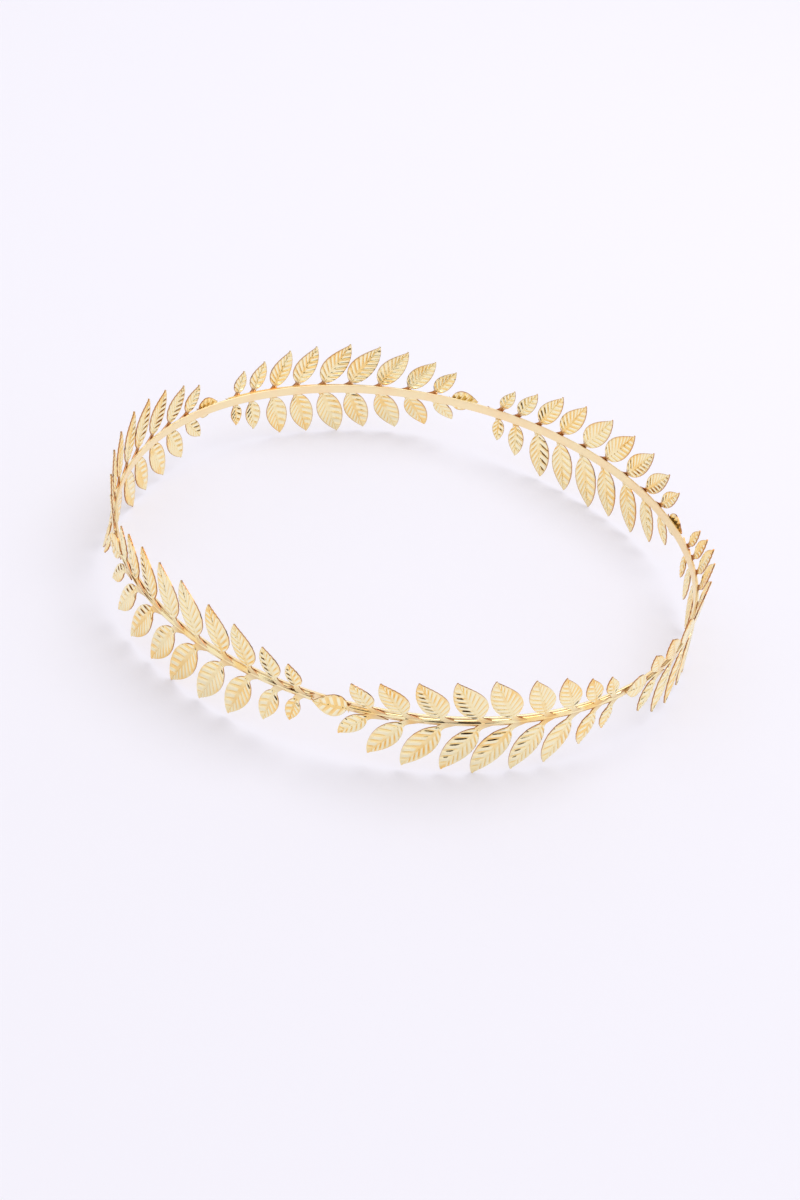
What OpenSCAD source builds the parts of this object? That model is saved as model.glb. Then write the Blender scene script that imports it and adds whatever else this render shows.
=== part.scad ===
// Leaf crown: a thin round hoop with six stamped leaf sprays end to end round its outside.
// Millimetres, +Z up. The origin is on the hoop's axis, level with the lowest leaf tips.

/* [Hoop] */
// Inner diameter of the hoop, which goes round the head
hoop_inner_d = 167; // [150:1:190]
// Height of the hoop strip
hoop_h = 2.8; // [2.4:0.1:3.2]
// Thickness of the hoop strip
hoop_wall = 0.6; // [0.4:0.1:1.2]

/* [Sprays] */
// Thickness of the stem outwards from the hoop
stem_t = 0.6; // [0.5:0.05:0.8]
// Height of the stem at the spray's foot
stem_foot_w = 2.4; // [1.8:0.1:2.8]
// Height of the stem at the spray's end leaf
stem_tip_w = 1.6; // [1.2:0.1:2.2]
// Clear gap between the hoop and the back of a spray
seat_gap = 0.15; // [0.1:0.05:0.3]

/* [Leaves] */
// Thickness of the leaf sheet
sheet_t = 0.45; // [0.35:0.05:0.7]
// Width of an upper leaf as a share of its length
upper_aspect = 0.48; // [0.4:0.01:0.52]
// Width of a lower leaf as a share of its length
lower_aspect = 0.43; // [0.36:0.01:0.46]
// Width of the end leaf as a share of its length
end_leaf_aspect = 0.72; // [0.6:0.01:0.8]
// Length of the narrow neck between the stem's middle and a leaf's blade
neck_l = 2; // [1.6:0.1:3]
// Width of the neck
neck_w = 1.1; // [0.8:0.1:1.5]
// Height of the pressed veins from crest to valley
vein_h = 0.4; // [0.2:0.05:0.45]
// Height of the pressed midrib above the blade
rib_h = 0.35; // [0.1:0.05:0.6]
// How strongly the veins sweep towards the leaf's tip on their way out to its edge
vein_sweep = 0.5; // [0:0.1:0.7]

/* [Hidden] */

spray_pitch = 60;
hoop_outer_r = hoop_inner_d / 2 + hoop_wall;
stem_r = hoop_outer_r + seat_gap + stem_t / 2;
hoop_sides = 180;
hoop_colour = [0.93, 0.76, 0.52];
leaf_colour = [0.96, 0.80, 0.45];

// The pairs of leaves, from the spray's foot to its tip
// Columns: run along the stem, then length, angle to the stem and rows of veins of the
// upper leaf, then the same three of the lower leaf
RUN = 0;
UPPER = 1;
LOWER = 4;
PAIRS = [
    [2.1, 9.4, 69, 2, 9.5, 82, 2],
    [8.1, 11.7, 66, 3, 12.7, 79, 3],
    [15.7, 14.5, 66, 3, 16.7, 72, 4],
    [23.8, 15.6, 65, 4, 17.8, 68, 4],
    [32.7, 17.2, 60, 4, 19.1, 64, 4],
    [41.6, 17.2, 57, 4, 17.8, 63, 4],
    [51.4, 16.0, 57, 4, 17.8, 61, 4],
    [60.9, 14.1, 54, 3, 15.6, 58, 3],
    [69.6, 11.4, 55, 3, 11.8, 48, 3]
];
// Columns of a leaf, taken from a pair's row: length, angle to the stem, rows of veins
LENGTH = 0;
ANGLE = 1;
VEINS = 2;
END_LEAF = [9.4, 3, 4];
end_leaf_run = 75.6;
end_leaf_neck = 0.6;
// Where the stem's foot starts, and the run at which the spray is turned to its place
stem_foot_run = -1.5;
spray_middle = 34.2;
// The height above the stem's middle at which a leaf starts to lean
bend_h = 1;
// Half width of a leaf's blunt tip
tip_half = sheet_t / 2;

// The six sprays, clockwise from the back, seen from above
// Columns: turn of the spray's middle from its even place, then how far its leaves lean
// outwards: upper leaves at the foot, middle and tip, lower leaves at the foot, middle and tip,
// and last how far the end leaf swings away from the hoop's curve
TURN = 0;
UPPER_LEAN = 1;
LOWER_LEAN = 4;
END_LIFT = 7;
first_spray_angle = 114.4;
SPRAYS = [
    [0.8, 12, 7, 19, -2, 7, 22, 12],
    [-0.5, 10, 0, 9, -3, -3, 5, 3],
    [-1.5, 7, 5, 8, 0, 3, 7, 2],
    [-0.7, 4, 8, 14, -1, -3, -3, 12],
    [0.3, 11, 1, 4, -2, 1, 9, 9],
    [1.4, 9, 6, 5, 13, -3, -3, 6]
];

// Height of the hoop's middle, so that the lowest leaf tip is at the origin's level
hoop_z = max([
    for (row = PAIRS)
        let (angle = row[LOWER + ANGLE])
        row[LOWER] * sin(angle) + tip_half * cos(angle)
]);

// A place on a spray (run along the stem, height from it, distance out from it) in the crown
function on_ring(middle, run, up, out) =
    let (a = middle - (run - spray_middle) / stem_r * 180 / PI, r = stem_r + out)
    [r * cos(a), r * sin(a), hoop_z + up];

// A value that passes through foot, middle and tip values along the stem
function along_spray(values, first, run) =
    let (share = run / PAIRS[len(PAIRS) - 1][RUN])
    share < 0.5
        ? values[first] + (values[first + 1] - values[first]) * share * 2
        : values[first + 1] + (values[first + 2] - values[first + 1]) * (share * 2 - 1);

// The two edges of a leaf blade: the front edge, which faces the spray's tip, and the rear edge
// Columns: fullness, then the powers by which the blade widens from its foot and narrows to its tip
FULL = 0;
FOOT_POWER = 1;
TIP_POWER = 2;
UPPER_EDGES = [[0.88, 0.6, 0.8], [0.96, 0.65, 1.15]];
LOWER_EDGES = [[1.05, 0.5, 0.75], [0.88, 0.7, 1.1]];
END_EDGES = [[1, 0.6, 0.98], [1, 0.6, 0.98]];
FRONT = 0;
REAR = 1;

// Distance of one edge from the midrib, as a share of half the blade's width, from foot to tip
function edge_out(edge, b) =
    let (widest = edge[FOOT_POWER] / (edge[FOOT_POWER] + edge[TIP_POWER]))
    edge[FULL] * pow(b / widest, edge[FOOT_POWER]) * pow((1 - b) / (1 - widest), edge[TIP_POWER]);

// How far along the midrib, and along the edge, the vein lies that is a share of all the veins
function midrib_share(vein) = pow(vein, 1 + vein_sweep);
function edge_share(vein) = pow(vein, 1 - vein_sweep / 4);

// Height of the midrib's ridge: it rises soon after the blade's foot and fades to the tip
rib_rise = 4;
function ridge(b) = rib_h * min(1, rib_rise * b) * (1 - b);

// Faces of a closed loft through rings of equal point counts, with a cap at each end
function loft_faces(rings, n) = concat(
    [[for (i = [0:n - 1]) i]],
    [for (k = [0:rings - 2], i = [0:n - 1])
        let (j = (i + 1) % n) [k * n + i, (k + 1) * n + i, (k + 1) * n + j, k * n + j]],
    [[for (i = [n - 1:-1:0]) (rings - 1) * n + i]]
);

// The same faces wound the other way, for a leaf that is a mirrored copy
function turned(faces) = [for (f = faces) [for (i = [len(f) - 1:-1:0]) f[i]]];

// One pressed leaf from the stem's middle at a run: side is 1 above the stem, -1 below it,
// lean turns it outwards about the stem and lift swings its tip away from the hoop's curve
module leaf(middle, foot_run, row, neck, aspect, edges, side, lean, lift = 0) {
    blade = row[LENGTH] - neck;
    half_w = row[LENGTH] * aspect / 2;
    rows = row[VEINS] * 2;

    // Where a point of the leaf lies: x along its midrib, v across it, h out of its face
    function spot(x, v, h) =
        let (run = foot_run + x * cos(row[ANGLE]) - v * sin(row[ANGLE]),
             up = x * sin(row[ANGLE]) + v * cos(row[ANGLE]),
             bend = up > bend_h ? lean : 0,
             past = up - bend_h,
             out = h * cos(bend) + past * sin(bend) + x * sin(lift))
        on_ring(middle, run, side * (bend_h + past * cos(bend) - h * sin(bend)), out);

    // The six points of the sheet's section, with its middle at x and its edges at edge_x
    function section(x, edge_x, front, rear, rib, ripple) = [
        spot(edge_x, -front, ripple + sheet_t / 2),
        spot(x, 0, rib + sheet_t / 2),
        spot(edge_x, rear, ripple + sheet_t / 2),
        spot(edge_x, rear, ripple - sheet_t / 2),
        spot(x, 0, rib - sheet_t / 2),
        spot(edge_x, -front, ripple - sheet_t / 2)
    ];

    // The section at one row of the blade: crests and valleys take turns along the edges
    function blade_section(k) =
        let (at_end = k == 0 || k == rows,
             b = midrib_share(k / rows),
             edge = edge_share(k / rows),
             half = [for (e = edges)
                        k == rows ? tip_half : max(neck_w / 2, half_w * edge_out(e, edge))],
             ripple = at_end ? 0 : (k % 2 == 0 ? -1 : 1) * vein_h / 2)
        section(neck + blade * b, neck + blade * edge, half[FRONT], half[REAR], ridge(b), ripple);

    points = concat(
        section(0, 0, neck_w / 2, neck_w / 2, 0, 0),
        [for (k = [0:rows]) each blade_section(k)]
    );
    faces = loft_faces(rows + 2, 6);
    polyhedron(points, side > 0 ? faces : turned(faces));
}

// A leaf's three columns, from one side of a pair's row
function leaf_row(pair, first) = [for (i = [0:2]) pair[first + i]];

// A short slice of the stem, which hulls join
module stem_slice(middle, run) {
    slice_l = 0.2;
    place = on_ring(middle, run, 0, 0);
    share = (run - stem_foot_run) / (end_leaf_run - stem_foot_run);
    w = stem_foot_w + (stem_tip_w - stem_foot_w) * share;
    translate(place)
        rotate([0, 0, atan2(place[1], place[0])])
            cube([stem_t, slice_l, w], center = true);
}

module stem(middle) {
    steps = 11;
    step = (end_leaf_run - stem_foot_run) / steps;
    for (k = [0:steps - 1]) {
        hull() {
            stem_slice(middle, stem_foot_run + step * k);
            stem_slice(middle, stem_foot_run + step * (k + 1));
        }
    }
}

module hoop() {
    color(hoop_colour)
        translate([0, 0, hoop_z - hoop_h / 2])
            difference() {
                cylinder(h = hoop_h, r = hoop_outer_r, $fn = hoop_sides);
                translate([0, 0, -hoop_h / 2])
                    cylinder(h = 2 * hoop_h, d = hoop_inner_d, $fn = hoop_sides);
            }
}

// Spray number i: its stem, its pairs of leaves and its end leaf, stamped as one piece
module leaf_spray(i) {
    spray = SPRAYS[i - 1];
    middle = first_spray_angle - spray_pitch * (i - 1) + spray[TURN];
    color(leaf_colour)
        union() {
            stem(middle);
            for (pair = PAIRS) {
                leaf(middle, pair[RUN], leaf_row(pair, UPPER), neck_l, upper_aspect, UPPER_EDGES, 1,
                     along_spray(spray, UPPER_LEAN, pair[RUN]));
                leaf(middle, pair[RUN], leaf_row(pair, LOWER), neck_l, lower_aspect, LOWER_EDGES, -1,
                     along_spray(spray, LOWER_LEAN, pair[RUN]));
            }
            leaf(middle, end_leaf_run, END_LEAF, end_leaf_neck, end_leaf_aspect, END_EDGES, 1, 0,
                 spray[END_LIFT]);
        }
}

hoop();
leaf_spray(1);  // leaf_spray_1
leaf_spray(2);  // leaf_spray_2
leaf_spray(3);  // leaf_spray_3
leaf_spray(4);  // leaf_spray_4
leaf_spray(5);  // leaf_spray_5
leaf_spray(6);  // leaf_spray_6
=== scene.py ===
"""A leaf crown dressed for its picture: six pressed gold leaf sprays round a thin hoop."""

import logging
import math
from dataclasses import dataclass, field
from enum import Enum
from typing import Callable, Sequence

import bmesh
import bpy
from mathutils import Matrix, Vector


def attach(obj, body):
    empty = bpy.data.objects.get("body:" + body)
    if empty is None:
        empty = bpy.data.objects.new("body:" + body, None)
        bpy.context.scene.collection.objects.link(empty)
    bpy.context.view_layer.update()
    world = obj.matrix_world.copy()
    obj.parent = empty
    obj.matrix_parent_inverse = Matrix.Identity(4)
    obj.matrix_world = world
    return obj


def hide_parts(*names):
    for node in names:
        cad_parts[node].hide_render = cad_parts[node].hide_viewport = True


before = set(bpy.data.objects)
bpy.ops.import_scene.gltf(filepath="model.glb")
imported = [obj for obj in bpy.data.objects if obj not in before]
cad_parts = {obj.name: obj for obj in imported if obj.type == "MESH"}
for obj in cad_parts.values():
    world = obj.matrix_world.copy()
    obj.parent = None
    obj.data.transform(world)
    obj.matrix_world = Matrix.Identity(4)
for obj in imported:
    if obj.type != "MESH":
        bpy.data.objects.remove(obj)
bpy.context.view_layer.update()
log = logging.getLogger("leaf_crown")

MM = 0.001

# Sizes that the hoop and the sprays share, in millimetres
HOOP_INNER_R = 83.5
HOOP_OUTER_R = 84.1
HOOP_H = 2.8
STEM_R = 84.55
HOOP_Z = 17.266
SHEET_T = 0.45

# How far a row is lifted clear of the rest of its mesh while it is shaped, and laid aside after
LIFT = 50
ASIDE = 200

# How near to a line or row a vertex counts as on it, and how near two vertices are one
NEAR = 0.001


class Side(Enum):
    """On which side of the stem a leaf grows."""

    UPPER = 1
    LOWER = -1


class Axis(Enum):
    """An axis that a selection is turned about."""

    X = "X"
    Y = "Y"
    Z = "Z"


# Bench tools: selecting and moving parts of a mesh


def put_down() -> None:
    """Leave edit mode with nothing selected."""
    if bpy.context.mode != "OBJECT":
        bpy.ops.object.mode_set(mode="OBJECT")
    bpy.ops.object.select_all(action="DESELECT")


def hold(*pieces: bpy.types.Object) -> None:
    """Make these the only selected pieces.

    Args:
        pieces: The pieces, the first of which becomes the active one.
    """
    put_down()
    for piece in pieces:
        piece.select_set(True)
    bpy.context.view_layer.objects.active = pieces[0]


def open_mesh(piece: bpy.types.Object) -> None:
    """Take one piece into edit mode, in vertex mode and with nothing picked.

    Args:
        piece: The piece.
    """
    hold(piece)
    bpy.ops.object.mode_set(mode="EDIT")
    bpy.ops.mesh.select_mode(type="VERT")
    bpy.ops.mesh.select_all(action="DESELECT")


def pick(piece: bpy.types.Object, wanted: Callable[[Vector], bool]) -> None:
    """Select the vertices whose place passes a test.

    Args:
        piece: The piece in edit mode.
        wanted: Takes a vertex's place and says whether it is picked.
    """
    shape = bmesh.from_edit_mesh(piece.data)
    for vert in shape.verts:
        vert.select = wanted(vert.co)
    shape.select_flush_mode()


def pick_all() -> None:
    """Select the whole mesh of the piece in edit mode."""
    bpy.ops.mesh.select_all(action="SELECT")


def move(x: float = 0, y: float = 0, z: float = 0) -> None:
    """Move what is picked, in millimetres."""
    bpy.ops.transform.translate(value=(x * MM, y * MM, z * MM))


def stretch(x: float = 1, y: float = 1, z: float = 1, about: Sequence[float] = (0, 0, 0)) -> None:
    """Scale what is picked about a point in millimetres."""
    bpy.ops.transform.resize(value=(x, y, z), center_override=[c * MM for c in about])


def turn(degrees: float, axis: Axis, about: Sequence[float] = (0, 0, 0)) -> None:
    """Turn what is picked, the right-handed way.

    Args:
        degrees: The angle.
        axis: The axis that it turns about.
        about: A point on the axis, in millimetres.
    """
    bpy.ops.transform.rotate(
        value=-math.radians(degrees),
        orient_axis=axis.value,
        center_override=[c * MM for c in about],
    )


def copy_of(piece: bpy.types.Object, name: str) -> bpy.types.Object:
    """Copy a piece with a mesh of its own.

    Args:
        piece: What is copied.
        name: The copy's name.

    Returns:
        The copy.
    """
    hold(piece)
    bpy.ops.object.duplicate(linked=False)
    copy = bpy.context.view_layer.objects.active
    copy.name = name
    return copy


def grid(name: str, rows: int, half_columns: int) -> bpy.types.Object:
    """Add a flat grid on the far side of X, 2 mm wide, each of its rows of cells 1 mm long.

    Args:
        name: The new object's name.
        rows: Cells along X, the last of which ends at the YZ plane.
        half_columns: Cells on each side of the middle line.

    Returns:
        The grid in edit mode, with its place in its mesh.
    """
    put_down()
    bpy.ops.mesh.primitive_grid_add(
        x_subdivisions=rows, y_subdivisions=2 * half_columns, size=2 * MM
    )
    piece = bpy.context.object
    piece.name = name
    open_mesh(piece)
    pick_all()
    stretch(x=rows / 2)
    move(x=-rows / 2)
    return piece


def space_columns(piece: bpy.types.Object, columns: Sequence[tuple[float, float]]) -> None:
    """Set the even columns of a new grid to their places and heights.

    Args:
        piece: The grid in edit mode.
        columns: For each column outwards, its share of the way from the middle to the edge,
            and its height.
    """
    for number, (share, height) in enumerate(columns, 1):
        even = number / len(columns)
        pick(piece, lambda co: abs(abs(co.y) / MM - even) < NEAR)
        move(z=height)
        stretch(y=share / even)


def raise_middle(piece: bpy.types.Object, height: float) -> None:
    """Raise a sheet's middle line into a ridge."""
    pick(piece, lambda co: abs(co.y) / MM < NEAR)
    move(z=height)


def close_mesh(piece: bpy.types.Object, smooth_angle: float) -> None:
    """Point a closed piece's faces outwards, leave edit mode and smooth its shading.

    Args:
        piece: The piece in edit mode.
        smooth_angle: The angle in degrees from which an edge stays sharp.
    """
    pick_all()
    bpy.ops.mesh.normals_make_consistent(inside=False)
    hold(piece)
    bpy.ops.object.shade_smooth_by_angle(angle=math.radians(smooth_angle))


# The leaves


@dataclass(frozen=True)
class Edge:
    """The outline of one side of a leaf blade.

    Full is how far out it is at its widest, as a share of half the blade's width. The powers
    round it off towards the foot and the tip.
    """

    full: float
    foot_power: float
    tip_power: float

    def out(self, share: float) -> float:
        """Distance from the midrib, as a share of half the blade's width.

        Args:
            share: Place along the edge, 0 at the foot and 1 at the tip.

        Returns:
            The distance.
        """
        widest = self.foot_power / (self.foot_power + self.tip_power)
        rising = (share / widest) ** self.foot_power
        falling = ((1 - share) / (1 - widest)) ** self.tip_power
        return self.full * rising * falling


@dataclass(frozen=True)
class LeafKind:
    """A kind of leaf: its side, its edges towards the spray's tip and foot, and its neck.

    The aspect is the blade's width over the leaf's length. The bows say how far each edge's
    veins sweep towards the leaf's tip. The neck meets the stem at about its angle, slid along it
    to the spray's foot, and the back shade is how much shade is painted on its back.
    """

    side: Side
    aspect: float
    front: Edge
    rear: Edge
    front_bow: float
    rear_bow: float
    neck_l: float
    neck_w: float
    neck_angle: float
    neck_slide: float
    back_shade: float


UPPER_LEAF = LeafKind(
    side=Side.UPPER,
    aspect=0.48,
    front=Edge(0.88, 0.66, 0.8),
    rear=Edge(0.97, 0.66, 1.22),
    front_bow=0.3,
    rear_bow=0.6,
    neck_l=2.0,
    neck_w=1.6,
    neck_angle=60,
    neck_slide=1.0,
    back_shade=0.8,
)
LOWER_LEAF = LeafKind(
    side=Side.LOWER,
    aspect=0.43,
    front=Edge(1.05, 0.62, 0.75),
    rear=Edge(0.9, 0.84, 1.05),
    front_bow=0.35,
    rear_bow=0.6,
    neck_l=2.0,
    neck_w=1.9,
    neck_angle=64,
    neck_slide=1.0,
    back_shade=0.2,
)
END_LEAF = LeafKind(
    side=Side.UPPER,
    aspect=0.72,
    front=Edge(1, 0.6, 0.98),
    rear=Edge(1, 0.6, 0.98),
    front_bow=0.3,
    rear_bow=0.3,
    neck_l=0.6,
    neck_w=1.3,
    neck_angle=90,
    neck_slide=0.0,
    back_shade=0.4,
)


@dataclass
class LeafBlank:
    """One pressed leaf along X, foot at the origin and face up, of which leaves are copies."""

    kind: LeafKind
    length: float
    front_veins: int
    rear_veins: int
    rows_per_vein: int = 12
    midrib_crowding: float = 1.3
    # The veins: height, share of their spacing that each flank takes, and fading at the tip
    vein_h: float = 0.15
    flank: float = 0.3
    tip_fade: float = 6
    # The blade's roof along the midrib, how steeply it starts, and the narrow rib on it
    rib_h: float = 0.22
    rib_rise: float = 4
    midrib_h: float = 0.12
    rim_softening: float = 0.06
    smooth_angle: float = 62
    # How much shade is painted on the neck's front, on the rim of the back and on the cut edge
    front_shade: float = 0.3
    shade_fade: float = 1.1
    rim_shade: float = 0.6
    cut_shade: float = 0.8
    # The neck from the blade to the stem: what each step leaves of its relief, then each step's
    # share of its length, slide to the spray's foot, and growth in width
    neck_flattening: float = 0.6
    neck_steps: tuple[tuple[float, float, float], ...] = (
        (0.15, 0.1, 1.05),
        (0.15, 0.2, 1.1),
        (0.15, 0.3, 1.15),
        (0.15, 0.4, 1.2),
        (0.2, 0.55, 1.2),
        (0.2, 0.7, 1.2),
    )
    # Share of the way from the midrib to the edge, and of the veins' height that shows there
    columns: tuple[tuple[float, float], ...] = (
        (0.07, 0.1),
        (0.18, 0.9),
        (0.45, 1.0),
        (0.7, 1.0),
        (0.9, 0.75),
        (1.0, 0.25),
    )

    def midrib_share(self, share: float) -> float:
        """Where along the midrib the row starts that is a share of all rows."""
        return share**self.midrib_crowding

    def edge_share(self, share: float, bow: float) -> float:
        """Where along an edge the same row ends."""
        return share + bow * share * (1 - share)

    def phase(self, share: float, veins: int) -> float:
        """Height of the pleats at a row, from -1 in a groove up a straight flank to 1.

        Args:
            share: How far the row is from the foot, as a share of all rows.
            veins: How many veins the half of the blade has.

        Returns:
            The height, fading out towards the tip, and 0 at the foot.
        """
        if not 0 < share < 1:
            return 0
        to_groove = abs(share * veins - round(share * veins))
        return min(1, 2 * to_groove / self.flank - 1) * min(1, self.tip_fade * (1 - share))

    def press(self) -> bpy.types.Object:
        """Model the blank.

        Returns:
            The closed leaf, with its relief and its creases in attributes.
        """
        rows = self.rear_veins * self.rows_per_vein
        name = f"leaf_blank_{self.kind.side.name.lower()}_{self.rear_veins}"
        piece = grid(name, rows, len(self.columns))
        space_columns(piece, [(share, self.vein_h * show) for share, show in self.columns])
        self._mark_relief(piece, rows)
        for row in range(rows + 1):
            self._lay_row(piece, row, rows)
        raise_middle(piece, self.midrib_h)
        self._draw_neck(piece)
        self._paint_shade(piece, self._thicken(piece))
        return piece

    def _mark_relief(self, piece: bpy.types.Object, rows: int) -> None:
        """Keep each vertex's height on the veins as an attribute, 1 on a pleat, -1 in a groove.

        Args:
            piece: The grid in edit mode, its columns spaced.
            rows: How many rows of cells it has.
        """
        bpy.ops.object.mode_set(mode="OBJECT")
        marks = piece.data.attributes.new("relief", "FLOAT", "POINT")
        for vert, mark in zip(piece.data.vertices, marks.data):
            share = round(vert.co.x / MM + rows) / rows
            in_front = vert.co.y * self.kind.side.value > 0
            height = self.phase(share, self.front_veins if in_front else self.rear_veins)
            mark.value = height * vert.co.z / (self.vein_h * MM)
        open_mesh(piece)

    def _lay_row(self, piece: bpy.types.Object, row: int, rows: int) -> None:
        """Lift one row of the grid, widen it, press the veins into it and lay it on the blade.

        Args:
            piece: The grid in edit mode.
            row: The row's number, from 0 at the foot.
            rows: The number of the row at the tip.
        """
        blade = self.length - self.kind.neck_l
        share = row / rows
        along = self.midrib_share(share)
        roof = self.rib_h * min(1, self.rib_rise * along) * (1 - along)
        home = (row - rows, 0, LIFT)
        pick(piece, lambda co: abs(co.x / MM - home[0]) < NEAR)
        move(z=LIFT)
        facing = self.kind.side.value
        for way, edge, bow, veins in (
            (facing, self.kind.front, self.kind.front_bow, self.front_veins),
            (-facing, self.kind.rear, self.kind.rear_bow, self.rear_veins),
        ):
            end = self.edge_share(share, bow)
            reach = blade * (end - along)
            least = self.kind.neck_w / 2 if share < 0.5 else SHEET_T / 2
            out = max(least, self.length * self.kind.aspect / 2 * edge.out(end))
            pick(piece, lambda co: co.z / MM > LIFT / 2 and co.y / MM * way > NEAR)
            stretch(y=math.hypot(out, reach), z=self.phase(share, veins), about=home)
            turn(-way * math.degrees(math.atan2(roof, out)), Axis.X, home)
            turn(-way * math.degrees(math.atan2(reach, out)), Axis.Z, home)
        pick(piece, lambda co: co.z / MM > LIFT / 2)
        move(x=self.kind.neck_l + blade * along - home[0], z=roof - LIFT)

    def _draw_neck(self, piece: bpy.types.Object) -> None:
        """Draw the blade's foot out into a neck that turns, widens and slides along the stem.

        Args:
            piece: The blade, one sheet, in edit mode.
        """
        pick(piece, lambda co: co.x / MM < self.kind.neck_l + NEAR)
        to_foot = math.radians(self.kind.neck_angle)
        way = -self.kind.side.value
        x, y = self.kind.neck_l, 0.0
        for share, slide, growth in self.neck_steps:
            bpy.ops.mesh.extrude_region_move()
            far = slide * self.kind.neck_slide
            ahead = -self.kind.neck_l * share - far * math.cos(to_foot)
            aside = way * far * math.sin(to_foot)
            move(x=ahead, y=aside)
            x, y = x + ahead, y + aside
            stretch(growth, growth, self.neck_flattening, (x, y, 0))
            turn(way * (90 - self.kind.neck_angle) / len(self.neck_steps), Axis.Z, (x, y, 0))

    def _shade_at(self, place: Vector) -> float:
        """Work out how much shade is painted on the sheet at a place on it.

        Args:
            place: The place, in the blank's own frame.

        Returns:
            The painted shade there: most where the neck's back is close to the hoop.
        """
        past = (place.x / MM - self.kind.neck_l) / self.shade_fade
        if place.z < 0:
            return self.kind.back_shade * min(1, max(0, 1 - past))
        return self.front_shade * min(1, max(0, 1 - place.x / MM / self.kind.neck_l))

    def _paint_shade(self, piece: bpy.types.Object, back_rim: set[int]) -> None:
        """Paint shade into the neck's creases, along the rim of the back, and on all of the cut
        edge.

        Args:
            piece: The closed leaf.
            back_rim: The indices of the vertices on the rim of the back.
        """
        sheet = piece.data
        creases = sheet.attributes.new("crease", "FLOAT", "CORNER").data
        for face in sheet.polygons:
            rim = sum(number in back_rim for number in face.vertices)
            cut = rim == 2 and any(sheet.vertices[number].co.z > 0 for number in face.vertices)
            for corner, number in zip(face.loop_indices, face.vertices):
                least = self.cut_shade if cut else self.rim_shade if number in back_rim else 0
                creases[corner].value = max(least, self._shade_at(sheet.vertices[number].co))

    def _thicken(self, piece: bpy.types.Object) -> set[int]:
        """Give the sheet its thickness and thin its rim a little on both faces.

        Args:
            piece: The sheet in edit mode.

        Returns:
            The indices of the vertices on the rim of the back.
        """
        pick_all()
        move(z=SHEET_T / 2)
        bpy.ops.mesh.select_all(action="DESELECT")
        bpy.ops.mesh.select_non_manifold(use_wire=False, use_multi_face=False, use_verts=False)
        move(z=-self.rim_softening)
        pick_all()
        bpy.ops.mesh.extrude_region_move()
        move(z=-SHEET_T)
        bpy.ops.mesh.region_to_loop()
        move(z=2 * self.rim_softening)
        bpy.ops.object.mode_set(mode="OBJECT")
        back_rim = {vert.index for vert in piece.data.vertices if vert.select}
        open_mesh(piece)
        close_mesh(piece, self.smooth_angle)
        return back_rim


# The stem


@dataclass
class Stem:
    """The sprays' stem, flat along X with its middle at the YZ plane: each spray has a copy.

    A run is a place along it in millimetres, growing towards its tip. It sinks a little from
    each pair of leaves to the next, where it steps up again.
    """

    foot_run: float = -1.5
    tip_run: float = 75.6
    middle_run: float = 34.2
    foot_w: float = 2.1
    tip_w: float = 1.2
    crest: float = 0.36
    back: float = -0.42
    cell: float = 0.4
    step_h: float = 0.1
    chevron_angle: float = 32
    smooth_angle: float = 50
    # How much shade is painted on the back, and the share of its depth from which that counts
    back_shade: float = 0.25
    back_zone: float = 0.75
    # Share of the way from the middle to the edge, and the ridge's height there
    columns: tuple[tuple[float, float], ...] = (
        (0.06, 0.355),
        (0.12, 0.34),
        (0.74, 0.08),
        (0.82, 0.02),
        (1.0, -0.18),
    )

    def roll(self, nodes: Sequence[float]) -> bpy.types.Object:
        """Model the stem.

        Args:
            nodes: The runs at which pairs of leaves spring from it.

        Returns:
            The closed stem.
        """
        rows = round((self.tip_run - self.foot_run) / self.cell)
        piece = grid("stem_blank", rows, len(self.columns))
        space_columns(piece, self.columns)
        raise_middle(piece, self.crest)
        for row in range(rows + 1):
            self._lay_row(piece, row, rows, nodes)
        pick_all()
        move(x=-ASIDE)
        bpy.ops.mesh.extrude_region_move()
        stretch(z=0, about=(0, 0, self.back))
        close_mesh(piece, self.smooth_angle)
        self._paint_shade(piece)
        return piece

    def _paint_shade(self, piece: bpy.types.Object) -> None:
        """Mark the back, where little light comes in behind the hoop.

        Args:
            piece: The closed stem.
        """
        creases = piece.data.attributes.new("crease", "FLOAT", "CORNER")
        for corner, mark in zip(piece.data.loops, creases.data):
            height = piece.data.vertices[corner.vertex_index].co.z
            mark.value = self.back_shade if height < self.back * self.back_zone * MM else 0

    def _lay_row(
        self, piece: bpy.types.Object, row: int, rows: int, nodes: Sequence[float]
    ) -> None:
        """Give one row its width, its chevron and its height above the step at the last node.

        Args:
            piece: The grid in edit mode.
            row: The row's number, from 0 at the foot.
            rows: The number of the row at the tip.
            nodes: The runs at which pairs of leaves spring from the stem.
        """
        share = row / rows
        run = self.foot_run + (self.tip_run - self.foot_run) * share
        half = (self.foot_w + (self.tip_w - self.foot_w) * share) / 2
        last = max([node for node in nodes if node <= run], default=self.foot_run)
        following = min([node for node in nodes if node > run], default=self.tip_run)
        rise = self.step_h * ((run - last) / (following - last)) ** 2
        home = (row - rows, 0, LIFT)
        pick(piece, lambda co: abs(co.x / MM - home[0]) < NEAR)
        move(z=LIFT - rise)
        for way in (1, -1):
            pick(piece, lambda co: co.z / MM > LIFT / 2 and co.y / MM * way > NEAR)
            stretch(y=half / math.cos(math.radians(self.chevron_angle)), about=home)
            turn(way * self.chevron_angle, Axis.Z, home)
        pick(piece, lambda co: co.z / MM > LIFT / 2)
        move(x=self.middle_run - run - home[0] + ASIDE, z=-LIFT)


# The sprays


@dataclass(frozen=True)
class Pair:
    """A pair of leaves: its run along the stem, then each leaf's length and angle to the stem."""

    run: float
    upper_length: float
    upper_angle: float
    lower_length: float
    lower_angle: float


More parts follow.
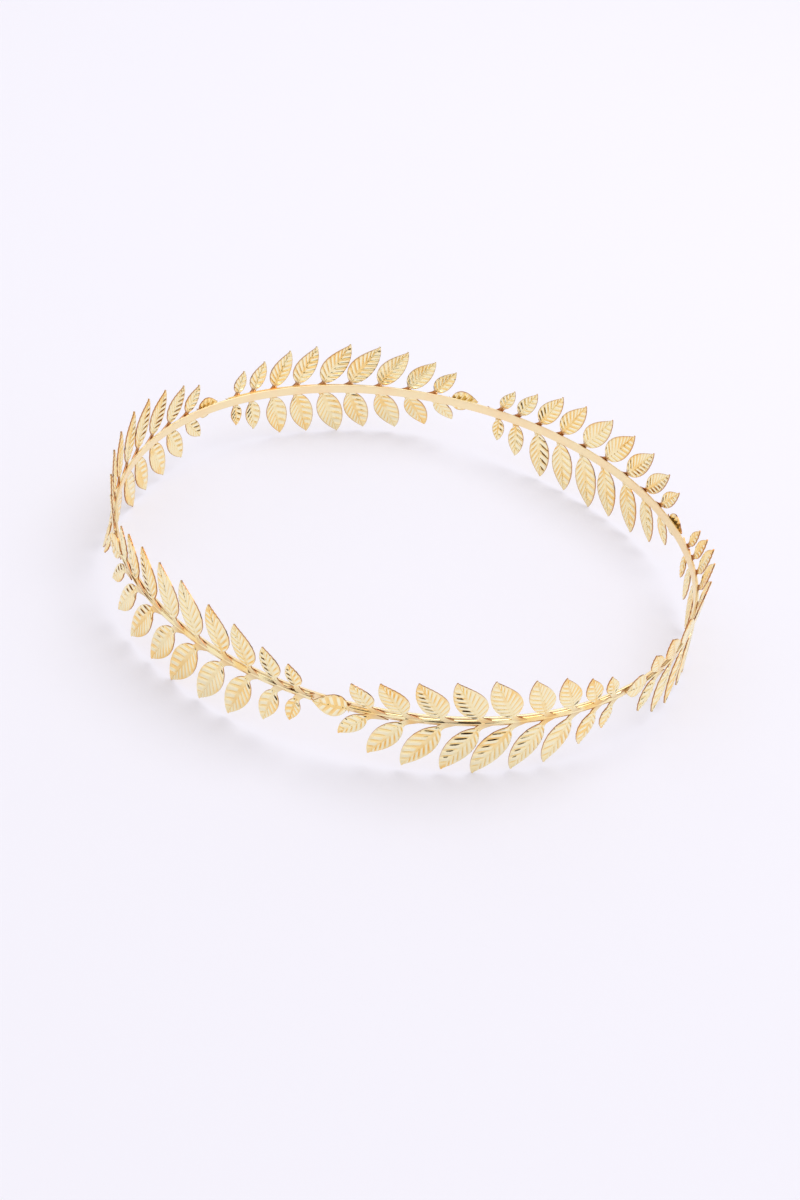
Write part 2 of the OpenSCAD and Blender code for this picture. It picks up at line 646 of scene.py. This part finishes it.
PAIRS = (
    Pair(2.1, 9.4, 69, 9.5, 82),
    Pair(8.1, 11.7, 66, 12.7, 79),
    Pair(15.7, 14.5, 66, 16.7, 72),
    Pair(23.8, 15.6, 65, 17.8, 68),
    Pair(32.7, 17.2, 60, 19.1, 64),
    Pair(41.6, 17.2, 57, 17.8, 63),
    Pair(51.4, 16.0, 57, 17.8, 61),
    Pair(60.9, 14.1, 54, 15.6, 58),
    Pair(69.6, 11.4, 55, 11.8, 48),
)


@dataclass(frozen=True)
class Pose:
    """How one spray sits on the hoop: its turn, and its leaves' leans outwards in degrees.

    Each lean is given at the spray's foot, middle and tip. The lift swings the end leaf's tip
    away from the hoop's curve, and the rise sets the stem higher on the hoop.
    """

    turn: float
    upper_lean: tuple[float, float, float]
    lower_lean: tuple[float, float, float]
    end_lift: float
    stem_rise: float = 0

    def lean(self, side: Side, run: float) -> float:
        """Lean of a leaf.

        Args:
            side: The leaf's side of the stem.
            run: Where it springs from the stem.

        Returns:
            The angle in degrees.
        """
        foot, middle, tip = self.upper_lean if side is Side.UPPER else self.lower_lean
        share = 2 * run / PAIRS[-1].run
        if share < 1:
            return foot + (middle - foot) * share
        return middle + (tip - middle) * (share - 1)


POSES = (
    Pose(0.8, (12, 7, 19), (-2, 7, 22), 12, 0.6),
    Pose(-0.5, (10, 0, 9), (-3, -3, 5), 3),
    Pose(-1.5, (7, 5, 8), (0, 3, 7), 2),
    Pose(-0.7, (4, 8, 14), (-1, -3, -3), 12),
    Pose(0.3, (11, 1, 4), (-2, 1, 9), 9),
    Pose(1.4, (9, 6, 5), (13, -3, -3), 6),
)


@dataclass
class SprayKit:
    """The blanks that every spray is made from."""

    stem: Stem = field(default_factory=Stem)
    # Lengths of the blanks of each side's leaves, and their veins to the front and the rear
    upper_blanks: tuple[tuple[float, int, int], ...] = (
        (9.4, 5, 6),
        (11.6, 6, 7),
        (14.7, 8, 9),
        (16.8, 9, 10),
    )
    lower_blanks: tuple[tuple[float, int, int], ...] = (
        (9.5, 4, 6),
        (12.3, 5, 7),
        (16.2, 6, 9),
        (18.0, 7, 10),
    )
    end_blank: tuple[float, int, int] = (9.4, 5, 5)

    def __post_init__(self) -> None:
        """Press every blank once."""
        self.leaves: dict[LeafKind, list[tuple[float, bpy.types.Object]]] = {
            kind: [(size[0], LeafBlank(kind, *size).press()) for size in sizes]
            for kind, sizes in (
                (UPPER_LEAF, self.upper_blanks),
                (LOWER_LEAF, self.lower_blanks),
                (END_LEAF, (self.end_blank,)),
            )
        }
        self.stem_blank = self.stem.roll([pair.run for pair in PAIRS])

    def clear(self) -> None:
        """Remove the blanks once the sprays are made."""
        hold(self.stem_blank, *[blank for sizes in self.leaves.values() for _, blank in sizes])
        bpy.ops.object.delete()


@dataclass
class LeafSpray:
    """One spray: a stem, nine pairs of leaves and an end leaf, stamped as one piece.

    The first spray's middle is at the first angle round the hoop, in degrees, and each next one
    a pitch further on, clockwise from above. The bends are the distances from the stem's middle
    line at which a leaf leans outwards, by an equal part of its lean at each.
    """

    number: int
    pose: Pose
    kit: SprayKit
    pitch: float = 60
    first_angle: float = 114.4
    end_angle: float = 4
    bends: tuple[float, float] = (0.8, 1.2)

    def build(self) -> bpy.types.Object:
        """Lay the leaves on the stem, flat, and curve the whole to its place on the hoop.

        Returns:
            The spray.
        """
        stem = copy_of(self.kit.stem_blank, f"pressed_spray_{self.number}")
        open_mesh(stem)
        pick_all()
        move(y=self.pose.stem_rise)
        end_run, end_length = self.kit.stem.tip_run, self.kit.end_blank[0]
        leaves = [
            self._lay_leaf(END_LEAF, end_run, end_length, self.end_angle, 0, self.pose.end_lift)
        ]
        for pair in PAIRS:
            for kind, length, angle in (
                (UPPER_LEAF, pair.upper_length, pair.upper_angle),
                (LOWER_LEAF, pair.lower_length, pair.lower_angle),
            ):
                lean = self.pose.lean(kind.side, pair.run)
                leaves.append(self._lay_leaf(kind, pair.run, length, angle, lean))
        hold(stem, *leaves)
        bpy.ops.object.join()
        self._curve(stem)
        return stem

    def _lay_leaf(
        self,
        kind: LeafKind,
        run: float,
        length: float,
        angle: float,
        lean: float,
        lift: float = 0,
    ) -> bpy.types.Object:
        """Copy the nearest blank and lay it on the flat spray.

        Args:
            kind: The leaf's kind.
            run: Where it springs from the stem.
            length: Its length from the stem's middle.
            angle: Its angle to the stem, in degrees.
            lean: How far it leans outwards, in degrees.
            lift: How far its tip swings outwards from the stem's end, in degrees.

        Returns:
            The leaf.
        """
        size, blank = min(self.kit.leaves[kind], key=lambda sized: abs(sized[0] - length))
        leaf = copy_of(blank, "leaf")
        side = kind.side.value
        open_mesh(leaf)
        pick_all()
        stretch(length / size, length / size)
        turn(-lift, Axis.Y)
        turn(180 - side * angle, Axis.Z)
        move(x=self.kit.stem.middle_run - run)
        for height in self.bends:
            pick(leaf, lambda co: side * co.y / MM > height)
            turn(side * lean / len(self.bends), Axis.X, (0, side * height, 0))
        put_down()
        return leaf

    def _curve(self, piece: bpy.types.Object) -> None:
        """Stand the flat spray up, wrap it round the hoop and turn it to its place.

        Args:
            piece: The flat spray.
        """
        open_mesh(piece)
        pick_all()
        turn(90, Axis.X)
        hold(piece)
        places = [vert.co.x for vert in piece.data.vertices]
        wrap = piece.modifiers.new("wrap", "SIMPLE_DEFORM")
        wrap.deform_method = "BEND"
        wrap.deform_axis = "Z"
        wrap.angle = (max(places) - min(places)) / (STEM_R * MM)
        bpy.ops.object.modifier_apply(modifier=wrap.name)
        open_mesh(piece)
        pick_all()
        move(y=-STEM_R, z=HOOP_Z)
        turn(90 + self.first_angle - self.pitch * (self.number - 1) + self.pose.turn, Axis.Z)
        put_down()


# The hoop


@dataclass
class Hoop:
    """The plain round strip that carries the sprays."""

    edge_radius: float = 0.14
    edge_segments: int = 3
    steps: int = 288
    smooth_angle: float = 40

    def build(self) -> bpy.types.Object:
        """Spin the strip's rounded section round the crown's axis.

        Returns:
            The hoop.
        """
        put_down()
        bpy.ops.mesh.primitive_plane_add(size=MM)
        piece = bpy.context.object
        piece.name = "hoop_strip"
        open_mesh(piece)
        pick_all()
        turn(90, Axis.X)
        stretch(HOOP_OUTER_R - HOOP_INNER_R, 1, HOOP_H)
        move(x=(HOOP_OUTER_R + HOOP_INNER_R) / 2, z=HOOP_Z)
        bpy.ops.mesh.delete(type="ONLY_FACE")
        pick_all()
        bpy.ops.mesh.bevel(
            affect="VERTICES", offset=self.edge_radius * MM, segments=self.edge_segments
        )
        pick_all()
        bpy.ops.mesh.spin(steps=self.steps, angle=2 * math.pi, center=(0, 0, 0), axis=(0, 0, 1))
        pick_all()
        bpy.ops.mesh.remove_doubles(threshold=NEAR * MM)
        close_mesh(piece, self.smooth_angle)
        return piece


# The finishes


def node_group(
    name: str, inputs: dict[str, tuple[str, object]], outputs: dict[str, str]
) -> bpy.types.NodeTree:
    """Start a shader node group.

    Args:
        name: The group's name.
        inputs: Each input's name, with its socket type and its value at first.
        outputs: Each output's name, with its socket type.

    Returns:
        The group, with its input and output nodes.
    """
    group = bpy.data.node_groups.new(name, "ShaderNodeTree")
    for label, (kind, value) in inputs.items():
        socket = group.interface.new_socket(label, in_out="INPUT", socket_type=kind)
        if value is not None:
            socket.default_value = value
    for label, kind in outputs.items():
        group.interface.new_socket(label, in_out="OUTPUT", socket_type=kind)
    group.nodes.new("NodeGroupInput")
    group.nodes.new("NodeGroupOutput")
    return group


def add_node(tree: bpy.types.NodeTree, kind: str, **settings: object) -> bpy.types.Node:
    """Add a node.

    Args:
        tree: The node tree.
        kind: The node's type.
        settings: The node's own settings.

    Returns:
        The node.
    """
    node = tree.nodes.new(kind)
    for name, value in settings.items():
        setattr(node, name, value)
    return node


# The gold's noise: scales of its patches and grain, and what the grain adds to the roughness
PATCH_SCALE = 130
GRAIN_SCALE = 2600
GRAIN_ROUGHNESS = 0.12

# Where each tone starts and where it is full: the random patches on their noise, and the painted
# highlight on the crests and painted shade in the grooves on the relief
PATCHES = (0.44, 0.66)
CREST_HIGHLIGHT = (0.55, 1.0)
GROOVE_SHADE = (-0.1, -1.0)


@dataclass(frozen=True)
class GoldFinish:
    """A gold plate: its colours, its drift of tone, and the satin of its fine grain.

    Its crest colour is a painted highlight, and its groove and crease colours are painted shade.
    A plain piece has no crests, grooves or creases, so its finish leaves these out.
    """

    name: str
    colour: tuple[float, float, float]
    patch_colour: tuple[float, float, float]
    drift: float
    roughness: float
    grain_h: float
    # Painted light: a highlight on the crests, and shade in the grooves and the creases
    crest_highlight_colour: tuple[float, float, float] | None = None
    groove_shade_colour: tuple[float, float, float] | None = None
    crease_shade_colour: tuple[float, float, float] | None = None

    @staticmethod
    def tone_and_painted_light_group() -> bpy.types.NodeTree:
        """Build, or fetch, the group that mixes the gold's random tones, its painted highlight
        and its painted shade over the surface.

        Returns:
            The group.
        """
        if "gold_tone_and_painted_light" in bpy.data.node_groups:
            return bpy.data.node_groups["gold_tone_and_painted_light"]
        colour, value = "NodeSocketColor", "NodeSocketFloat"
        group = node_group(
            "gold_tone_and_painted_light",
            {
                "Place": ("NodeSocketVector", None),
                "Colour": (colour, (1, 1, 1, 1)),
                "Patch colour": (colour, (1, 1, 1, 1)),
                "Relief": (value, 0.0),
                "Crest highlight colour": (colour, (1, 1, 1, 1)),
                "Groove shade colour": (colour, (1, 1, 1, 1)),
                "Crease": (value, 0.0),
                "Crease shade colour": (colour, (1, 1, 1, 1)),
                "Drift": (value, 0.1),
                "Roughness": (value, 0.3),
            },
            {"Colour": colour, "Roughness": value, "Grain": value},
        )
        start, end = group.nodes["Group Input"], group.nodes["Group Output"]
        link = group.links.new
        broad = add_node(group, "ShaderNodeTexNoise")
        broad.inputs["Scale"].default_value = PATCH_SCALE
        broad.inputs["Detail"].default_value = 2
        link(start.outputs["Place"], broad.inputs["Vector"])
        fine = add_node(group, "ShaderNodeTexNoise")
        fine.inputs["Scale"].default_value = GRAIN_SCALE
        fine.inputs["Detail"].default_value = 3
        link(start.outputs["Place"], fine.inputs["Vector"])
        before = start.outputs["Colour"]
        # Random patches of tone, then a painted highlight on the crests and painted shade in the
        # grooves
        for label, spread, (low, high) in (
            ("Patch colour", broad.outputs["Fac"], PATCHES),
            ("Crest highlight colour", start.outputs["Relief"], CREST_HIGHLIGHT),
            ("Groove shade colour", start.outputs["Relief"], GROOVE_SHADE),
        ):
            share = add_node(group, "ShaderNodeMapRange", interpolation_type="SMOOTHSTEP")
            share.inputs["From Min"].default_value = low
            share.inputs["From Max"].default_value = high
            link(spread, share.inputs["Value"])
            mixed = add_node(group, "ShaderNodeMix", data_type="RGBA")
            link(share.outputs["Result"], mixed.inputs["Factor"])
            link(before, mixed.inputs["A"])
            link(start.outputs[label], mixed.inputs["B"])
            before = mixed.outputs["Result"]
        # Painted shade in the creases, along the rims and on the cut edge
        crease_shaded = add_node(group, "ShaderNodeMix", data_type="RGBA")
        link(start.outputs["Crease"], crease_shaded.inputs["Factor"])
        link(before, crease_shaded.inputs["A"])
        link(start.outputs["Crease shade colour"], crease_shaded.inputs["B"])
        centred = add_node(group, "ShaderNodeMath", operation="SUBTRACT")
        link(broad.outputs["Fac"], centred.inputs[0])
        centred.inputs[1].default_value = 0.5
        drifted = add_node(group, "ShaderNodeMath", operation="MULTIPLY_ADD")
        link(centred.outputs["Value"], drifted.inputs[0])
        link(start.outputs["Drift"], drifted.inputs[1])
        drifted.inputs[2].default_value = 1
        toned = add_node(group, "ShaderNodeMix", data_type="RGBA", blend_type="MULTIPLY")
        toned.inputs["Factor"].default_value = 1
        link(crease_shaded.outputs["Result"], toned.inputs["A"])
        link(drifted.outputs["Value"], toned.inputs["B"])
        link(toned.outputs["Result"], end.inputs["Colour"])
        satin = add_node(group, "ShaderNodeMath", operation="MULTIPLY_ADD")
        link(fine.outputs["Fac"], satin.inputs[0])
        satin.inputs[1].default_value = GRAIN_ROUGHNESS
        link(start.outputs["Roughness"], satin.inputs[2])
        link(satin.outputs["Value"], end.inputs["Roughness"])
        link(fine.outputs["Fac"], end.inputs["Grain"])
        return group

    def material(self) -> bpy.types.Material:
        """Make the finish's material.

        Returns:
            The material.
        """
        gold = bpy.data.materials.new(self.name)
        gold.use_nodes = True
        tree = gold.node_tree
        shader = tree.nodes["Principled BSDF"]
        shader.inputs["Metallic"].default_value = 1
        tone = add_node(tree, "ShaderNodeGroup", node_tree=self.tone_and_painted_light_group())
        for label, colour in (
            ("Colour", self.colour),
            ("Patch colour", self.patch_colour),
            ("Crest highlight colour", self.crest_highlight_colour),
            ("Groove shade colour", self.groove_shade_colour),
            ("Crease shade colour", self.crease_shade_colour),
        ):
            tone.inputs[label].default_value = (*(colour or self.colour), 1)
        tone.inputs["Drift"].default_value = self.drift
        tone.inputs["Roughness"].default_value = self.roughness
        place = add_node(tree, "ShaderNodeTexCoord")
        relief = add_node(tree, "ShaderNodeAttribute", attribute_name="relief")
        crease = add_node(tree, "ShaderNodeAttribute", attribute_name="crease")
        bump = add_node(tree, "ShaderNodeBump")
        bump.inputs["Strength"].default_value = 1
        bump.inputs["Distance"].default_value = self.grain_h * MM
        link = tree.links.new
        link(place.outputs["Object"], tone.inputs["Place"])
        link(relief.outputs["Fac"], tone.inputs["Relief"])
        link(crease.outputs["Fac"], tone.inputs["Crease"])
        link(tone.outputs["Colour"], shader.inputs["Base Color"])
        link(tone.outputs["Roughness"], shader.inputs["Roughness"])
        link(tone.outputs["Grain"], bump.inputs["Height"])
        link(bump.outputs["Normal"], shader.inputs["Normal"])
        return gold


LEAF_GOLD = GoldFinish(
    name="pressed_leaf_gold",
    colour=(1.0, 0.87, 0.52),
    patch_colour=(1.0, 0.7, 0.28),
    drift=0.1,
    roughness=0.06,
    grain_h=0.004,
    # The crest colour is a painted highlight, and the groove colour is painted shade
    crest_highlight_colour=(1.0, 0.92, 0.64),
    groove_shade_colour=(0.97, 0.68, 0.27),
    # The crease colour is painted shade for the necks' creases, the stem's back, the rims and the
    # cut edges
    crease_shade_colour=(0.4, 0.1, 0.015),
)
HOOP_GOLD = GoldFinish(
    name="satin_hoop_gold",
    colour=(1.0, 0.84, 0.52),
    patch_colour=(1.0, 0.79, 0.48),
    drift=0.06,
    roughness=0.3,
    grain_h=0.005,
)


def dress(piece: bpy.types.Object, finish: bpy.types.Material, node: str) -> None:
    """Finish a piece and let it stand for its CAD node.

    Args:
        piece: The piece.
        finish: Its material.
        node: The CAD node that it replaces.
    """
    piece.data.materials.clear()
    piece.data.materials.append(finish)
    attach(piece, "root")
    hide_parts(node)
    piece.data.calc_loop_triangles()
    log.info("%s: %d triangles", piece.name, len(piece.data.loop_triangles))


# The studio


@dataclass(frozen=True)
class DarkThing:
    """Something dim in the pale room: its direction from the crown, radius and edge, in degrees.

    The azimuth is 0 away from the camera and 90 to its right.
    """

    azimuth: float
    elevation: float
    radius: float
    softness: float
    colour: tuple[float, float, float]


@dataclass
class Studio:
    """Floor, soft light and the camera.

    The camera's elevation and roll are in degrees and its distance from the hoop's middle in
    millimetres. The aim is how far that middle lies from the picture's own, in pixels. The
    clip distances, the floor and the lamp are in metres.
    """

    elevation: float = 32.60
    roll: float = 10.99
    focal_px: float = 1817.3
    aim_px: tuple[float, float] = (9.69, -65.57)
    distance: float = 523.6
    long_side_px: float = 1200
    sensor: float = 36
    clip: tuple[float, float] = (0.01, 20)
    floor_size: float = 8
    floor_colour: tuple[float, float, float] = (0.5, 0.49, 0.53)
    floor_roughness: float = 0.8
    floor_specular: float = 0.2
    glow_colour: tuple[float, float, float] = (0.93, 0.92, 0.985)
    floor_glow: float = 0.4
    lamp_place: tuple[float, float, float] = (0.4, 0.4, 1.2)
    lamp_aim: tuple[float, float, float] = (0, 0, 0.02)
    lamp_size: float = 1.0
    lamp_watts: float = 6
    room_colour: tuple[float, float, float] = (0.98, 0.97, 1.0)
    room_light: float = 0.95
    dark_things: tuple[DarkThing, ...] = (
        DarkThing(154, 5, 13, 2, (0.02, 0.007, 0.003)),
        DarkThing(151, 18, 12, 2, (0.03, 0.01, 0.004)),
        DarkThing(-153, 4, 12, 2, (0.07, 0.025, 0.008)),
        DarkThing(-147, 20, 8, 2, (0.12, 0.05, 0.015)),
        DarkThing(-173, 35, 7, 2, (0.08, 0.03, 0.012)),
        DarkThing(-76, 4, 12, 2, (0.16, 0.05, 0.01)),
        DarkThing(-72, 35, 11, 2, (0.3, 0.12, 0.03)),
        DarkThing(84, 13, 9, 2, (0.1, 0.04, 0.012)),
        DarkThing(62, 19, 12, 2, (0.24, 0.09, 0.02)),
        DarkThing(6, 36, 8, 3, (0.2, 0.08, 0.03)),
    )

    def set_up(self) -> None:
        """Build the floor, the world, the light and the camera."""
        self._floor()
        self._world()
        self._light()
        self._camera()

    def _floor(self) -> None:
        """Lay a plain pale floor."""
        put_down()
        bpy.ops.mesh.primitive_plane_add(size=self.floor_size)
        floor = bpy.context.object
        floor.name = "studio_floor"
        pale = bpy.data.materials.new("pale_floor")
        pale.use_nodes = True
        shader = pale.node_tree.nodes["Principled BSDF"]
        shader.inputs["Base Color"].default_value = (*self.floor_colour, 1)
        shader.inputs["Roughness"].default_value = self.floor_roughness
        shader.inputs["Specular IOR Level"].default_value = self.floor_specular
        shader.inputs["Emission Color"].default_value = (*self.glow_colour, 1)
        shader.inputs["Emission Strength"].default_value = self.floor_glow
        floor.data.materials.append(pale)

    def _world(self) -> None:
        """Light the scene from a pale room with a few dim things in it."""
        world = bpy.data.worlds.new("pale_room")
        bpy.context.scene.world = world
        world.use_nodes = True
        tree = world.node_tree
        link = tree.links.new
        way = add_node(tree, "ShaderNodeTexCoord")
        before = None
        for thing in self.dark_things:
            turned, high = math.radians(thing.azimuth), math.radians(thing.elevation)
            towards = add_node(tree, "ShaderNodeVectorMath", operation="DOT_PRODUCT")
            towards.inputs[1].default_value = (
                math.sin(turned) * math.cos(high),
                math.cos(turned) * math.cos(high),
                math.sin(high),
            )
            outer = math.radians(thing.radius + thing.softness)
            inner = math.radians(thing.radius - thing.softness)
            shade = add_node(tree, "ShaderNodeMapRange", interpolation_type="SMOOTHSTEP")
            shade.inputs["From Min"].default_value = math.cos(outer)
            shade.inputs["From Max"].default_value = math.cos(inner)
            room = add_node(tree, "ShaderNodeMix", data_type="RGBA")
            room.inputs["A"].default_value = (*self.room_colour, 1)
            room.inputs["B"].default_value = (*thing.colour, 1)
            link(way.outputs["Generated"], towards.inputs[0])
            link(towards.outputs["Value"], shade.inputs["Value"])
            link(shade.outputs["Result"], room.inputs["Factor"])
            if before:
                link(before.outputs["Result"], room.inputs["A"])
            before = room
        link(before.outputs["Result"], tree.nodes["Background"].inputs["Color"])
        tree.nodes["Background"].inputs["Strength"].default_value = self.room_light

    def _light(self) -> None:
        """Hang one wide soft light above and behind the crown."""
        put_down()
        bpy.ops.object.light_add(type="AREA", location=self.lamp_place)
        lamp = bpy.context.object
        lamp.data.shape = "DISK"
        lamp.data.size = self.lamp_size
        lamp.data.energy = self.lamp_watts
        ahead = Vector(self.lamp_aim) - lamp.location
        lamp.rotation_euler = ahead.to_track_quat("-Z", "Y").to_euler()

    def _camera(self) -> None:
        """Place the camera by its elevation, roll, distance and the pixel offset of its aim."""
        low, tilt = math.radians(self.elevation), math.radians(self.roll)
        ahead = Vector((0, math.cos(low), -math.sin(low)))
        right = Vector((1, 0, 0))
        over = right.cross(ahead)
        rolled_right = math.cos(tilt) * right + math.sin(tilt) * over
        rolled_up = -math.sin(tilt) * right + math.cos(tilt) * over
        pan = Matrix.Rotation(math.atan(self.aim_px[0] / self.focal_px), 3, rolled_up)
        panned_right = pan @ rolled_right
        nod = Matrix.Rotation(math.atan(self.aim_px[1] / self.focal_px), 3, panned_right)
        view = nod @ (pan @ ahead)
        up = nod @ rolled_up
        camera = bpy.data.objects.new("camera", bpy.data.cameras.new("camera"))
        bpy.context.collection.objects.link(camera)
        place = Vector((0, 0, HOOP_Z * MM)) - ahead * self.distance * MM
        turned = Matrix((panned_right, up, -view)).transposed().to_4x4()
        camera.matrix_world = Matrix.Translation(place) @ turned
        camera.data.sensor_width = self.sensor
        camera.data.lens = self.focal_px / self.long_side_px * self.sensor
        camera.data.clip_start, camera.data.clip_end = self.clip
        bpy.context.scene.camera = camera
        bpy.context.scene.view_settings.view_transform = "Standard"


def main() -> None:
    """Build the crown, dress it and set up the studio."""
    logging.basicConfig(level=logging.INFO, format="%(message)s")
    Studio().set_up()
    hoop_gold, leaf_gold = HOOP_GOLD.material(), LEAF_GOLD.material()
    dress(Hoop().build(), hoop_gold, "hoop")
    kit = SprayKit()
    for number, pose in enumerate(POSES, 1):
        spray = LeafSpray(number, pose, kit).build()
        dress(spray, leaf_gold, f"leaf_spray_{number}")
    kit.clear()


if __name__ == "__main__":
    main()
